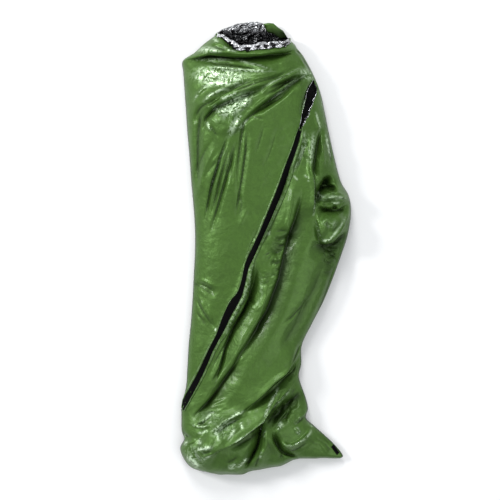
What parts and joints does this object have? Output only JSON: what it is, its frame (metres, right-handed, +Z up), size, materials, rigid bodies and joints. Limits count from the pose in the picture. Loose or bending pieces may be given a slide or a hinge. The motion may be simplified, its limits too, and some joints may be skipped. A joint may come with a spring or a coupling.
{
  "type": "emergency sleeping bag",
  "caption": "Emergency sleeping bag of green metallised film, laid out on its back: a folded, hollow tube open at the head, with a silver inside, a black closure tape across it and a toe tab.",
  "frame": {"origin": "under the middle of the bag, on the surface that it lies on", "axes": "+Y along the bag towards its open head end, +Z up, +X to the bag's right as seen from above with the head at the top"},
  "size_m": [0.612, 1.6222, 0.1535],
  "materials": {
    "green_film": "glossy crinkled film, green outside",
    "silver_film": "metallised, crinkled: the film's inner side",
    "black_tape": "hook-and-loop tape",
    "black_tab": "woven tab"
  },
  "bodies": {
    "root": {"bag_shell": "green_film", "closure_tape": "black_tape", "closure_tape_open_half": "black_tape", "foot_tab": "black_tab"}
  },
  "joints": []
}
